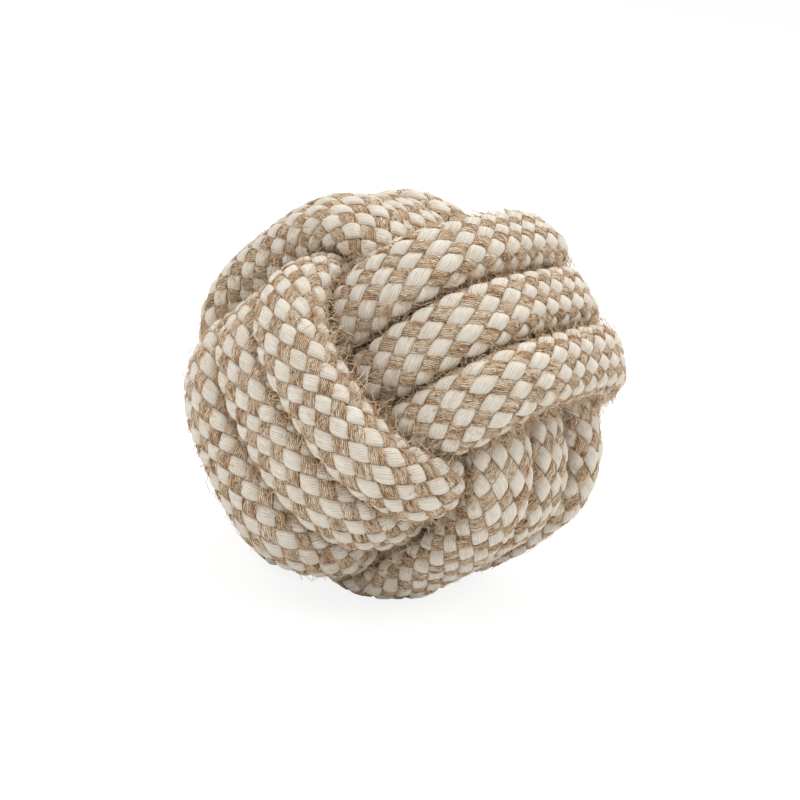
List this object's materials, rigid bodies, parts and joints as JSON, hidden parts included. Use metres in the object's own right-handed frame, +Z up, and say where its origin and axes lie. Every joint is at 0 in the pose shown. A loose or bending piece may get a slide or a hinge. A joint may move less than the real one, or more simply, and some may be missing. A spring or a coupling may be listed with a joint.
{
  "type": "rope dog toy",
  "caption": "Round dog toy: a ball knotted from thick two-tone braided rope, its bands of turns wrapped at right angles to each other round a hidden core ball.",
  "frame": {"origin": "on the surface the ball stands on, under the middle of its outline", "axes": "+Z up, -Y towards the viewer of the picture, +X to the viewer's right"},
  "size_m": [0.0908, 0.0994, 0.0828],
  "materials": {
    "cotton_strand": "undyed cotton yarn, matt, eight or nine yarns side by side in a flat strand",
    "jute_strand": "undyed jute fibre, matt and hairy",
    "filler_yarn": "soft undyed cotton, matt",
    "core_yarn": "tightly wound undyed yarn, matt"
  },
  "bodies": {
    "root": {"core_ball": "core_yarn", "first_winding_cover": "cotton_strand", "first_winding_filler": "filler_yarn", "second_winding_cover": "cotton_strand", "second_winding_filler": "filler_yarn", "third_winding_cover": "cotton_strand", "third_winding_filler": "filler_yarn", "start_end_wrap": "jute_strand", "finish_end_wrap": "jute_strand"}
  },
  "joints": []
}
